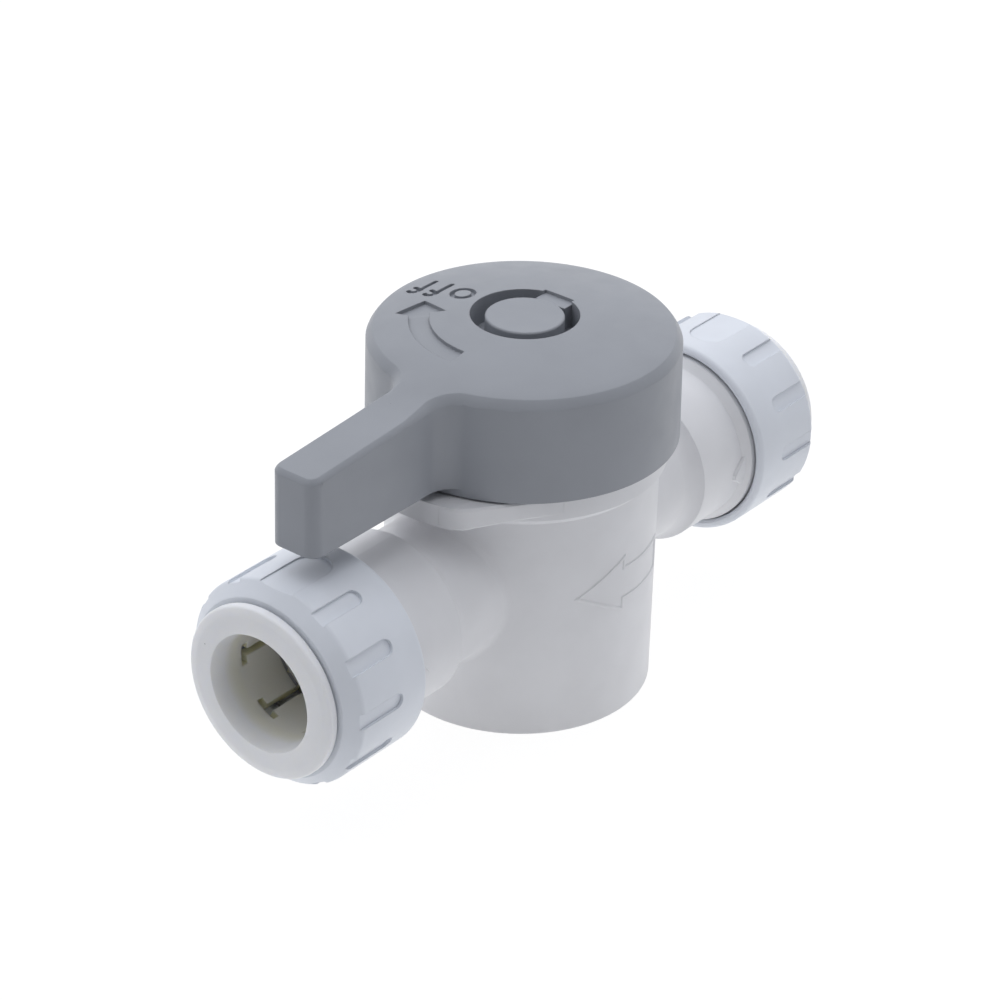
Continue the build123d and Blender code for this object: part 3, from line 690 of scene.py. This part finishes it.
def lit_level(tree, direction):
    """Strength of the sky in a direction: a soft glow round each light."""
    total = None
    for name, (turn, elevation, sharpness, strength) in LIGHTS.items():
        azimuth = CAMERA_AZIMUTH + radians(turn)
        level = cos(radians(elevation))
        toward = tree.nodes.new("ShaderNodeVectorMath")
        toward.operation = "DOT_PRODUCT"
        aim = (sin(azimuth) * level, -cos(azimuth) * level, sin(radians(elevation)))
        toward.inputs[1].default_value = aim
        tree.links.new(direction, toward.inputs[0])
        value = toward.outputs["Value"]
        for operation, amount in (("MAXIMUM", 0.0), ("POWER", sharpness), ("MULTIPLY", strength)):
            step = tree.nodes.new("ShaderNodeMath")
            step.operation = operation
            step.inputs[1].default_value = amount
            tree.links.new(value, step.inputs[0])
            value = step.outputs[0]
        step.label = name
        if total is None:
            total = value
            continue
        join = tree.nodes.new("ShaderNodeMath")
        join.operation = "ADD"
        tree.links.new(total, join.inputs[0])
        tree.links.new(value, join.inputs[1])
        total = join.outputs[0]
    return total


def make_world():
    """Sky that lights the object, white where it is seen or mirrored."""
    world = bpy.data.worlds.new("studio")
    bpy.context.scene.world = world
    world.use_nodes = True
    tree = world.node_tree
    tree.nodes.clear()
    place = tree.nodes.new("ShaderNodeTexCoord")
    lamp = tree.nodes.new("ShaderNodeBackground")
    lamp.inputs["Color"].default_value = (*LIGHT_TINT, 1.0)
    tree.links.new(lit_level(tree, place.outputs["Generated"]), lamp.inputs["Strength"])
    white = tree.nodes.new("ShaderNodeBackground")
    white.inputs["Color"].default_value = (1, 1, 1, 1)
    choose = tree.nodes.new("ShaderNodeMixShader")
    tree.links.new(seen_straight(tree), choose.inputs[0])
    tree.links.new(lamp.outputs[0], choose.inputs[1])
    tree.links.new(white.outputs[0], choose.inputs[2])
    out = tree.nodes.new("ShaderNodeOutputWorld")
    tree.links.new(choose.outputs[0], out.inputs["Surface"])


def make_floor():
    """A pale floor that looks white and keeps a faint shadow."""
    mesh = bpy.data.meshes.new("floor")
    form = bmesh.new()
    bmesh.ops.create_circle(form, cap_ends=True, radius=FLOOR_REACH, segments=FLOOR_SEGMENTS)
    form.to_mesh(mesh)
    form.free()
    floor = bpy.data.objects.new("floor", mesh)
    bpy.context.scene.collection.objects.link(floor)
    material = bpy.data.materials.new("floor")
    material.use_nodes = True
    tree = material.node_tree
    tree.nodes.clear()
    plain = tree.nodes.new("ShaderNodeBsdfDiffuse")
    plain.inputs["Color"].default_value = (FLOOR_SHADE, FLOOR_SHADE, FLOOR_SHADE, 1)
    place = tree.nodes.new("ShaderNodeTexCoord")
    reach = tree.nodes.new("ShaderNodeVectorMath")
    reach.operation = "LENGTH"
    tree.links.new(place.outputs["Object"], reach.inputs[0])
    pool = tree.nodes.new("ShaderNodeMapRange")
    pool.interpolation_type = "SMOOTHSTEP"
    pool.inputs["From Min"].default_value = POOL_OUTER
    pool.inputs["From Max"].default_value = POOL_INNER
    tree.links.new(reach.outputs["Value"], pool.inputs["Value"])
    level = tree.nodes.new("ShaderNodeMath")
    level.operation = "MULTIPLY"
    level.inputs[1].default_value = FLOOR_GLOW
    tree.links.new(pool.outputs["Result"], level.inputs[0])
    soft = tree.nodes.new("ShaderNodeEmission")
    tree.links.new(level.outputs[0], soft.inputs["Strength"])
    under = tree.nodes.new("ShaderNodeAddShader")
    tree.links.new(plain.outputs[0], under.inputs[0])
    tree.links.new(soft.outputs[0], under.inputs[1])
    shadow = tree.nodes.new("ShaderNodeBsdfDiffuse")
    shadow.inputs["Color"].default_value = (SEEN_SHADE, SEEN_SHADE, SEEN_SHADE, 1)
    glow = tree.nodes.new("ShaderNodeEmission")
    glow.inputs["Strength"].default_value = SEEN_GLOW
    both = tree.nodes.new("ShaderNodeAddShader")
    tree.links.new(shadow.outputs[0], both.inputs[0])
    tree.links.new(glow.outputs[0], both.inputs[1])
    choose = tree.nodes.new("ShaderNodeMixShader")
    tree.links.new(seen_straight(tree), choose.inputs[0])
    tree.links.new(under.outputs[0], choose.inputs[1])
    tree.links.new(both.outputs[0], choose.inputs[2])
    out = tree.nodes.new("ShaderNodeOutputMaterial")
    tree.links.new(choose.outputs[0], out.inputs["Surface"])
    mesh.materials.append(material)


def make_camera():
    """The photograph's view: it looks at the pipe axis under the stem, a little off the frame's middle."""
    distance = 497.4 * MM
    focal_pixels = 3545.9
    frame_pixels = 1000
    aim_column, aim_row = 519.8, 533.9
    aim = Vector((0, 0, 21.23 * MM))
    back = Vector((
        sin(CAMERA_AZIMUTH) * cos(CAMERA_ELEVATION),
        -cos(CAMERA_AZIMUTH) * cos(CAMERA_ELEVATION),
        sin(CAMERA_ELEVATION),
    ))
    level_right = Vector((cos(CAMERA_AZIMUTH), sin(CAMERA_AZIMUTH), 0))
    level_up = back.cross(level_right)
    right = level_right * cos(CAMERA_ROLL) + level_up * sin(CAMERA_ROLL)
    up = back.cross(right)
    aside = (aim_column - frame_pixels / 2) / focal_pixels * distance
    below = (aim_row - frame_pixels / 2) / focal_pixels * distance
    data = bpy.data.cameras.new("camera")
    data.sensor_width = 36.0
    data.lens = focal_pixels * data.sensor_width / frame_pixels
    data.clip_start = 0.01
    camera = bpy.data.objects.new("camera", data)
    turn = Matrix((right, up, back)).transposed().to_4x4()
    camera.matrix_world = Matrix.Translation(aim + distance * back - aside * right + below * up) @ turn
    bpy.context.scene.collection.objects.link(camera)
    bpy.context.scene.camera = camera


make_world()
make_floor()
make_camera()
bpy.context.scene.view_settings.view_transform = "Standard"
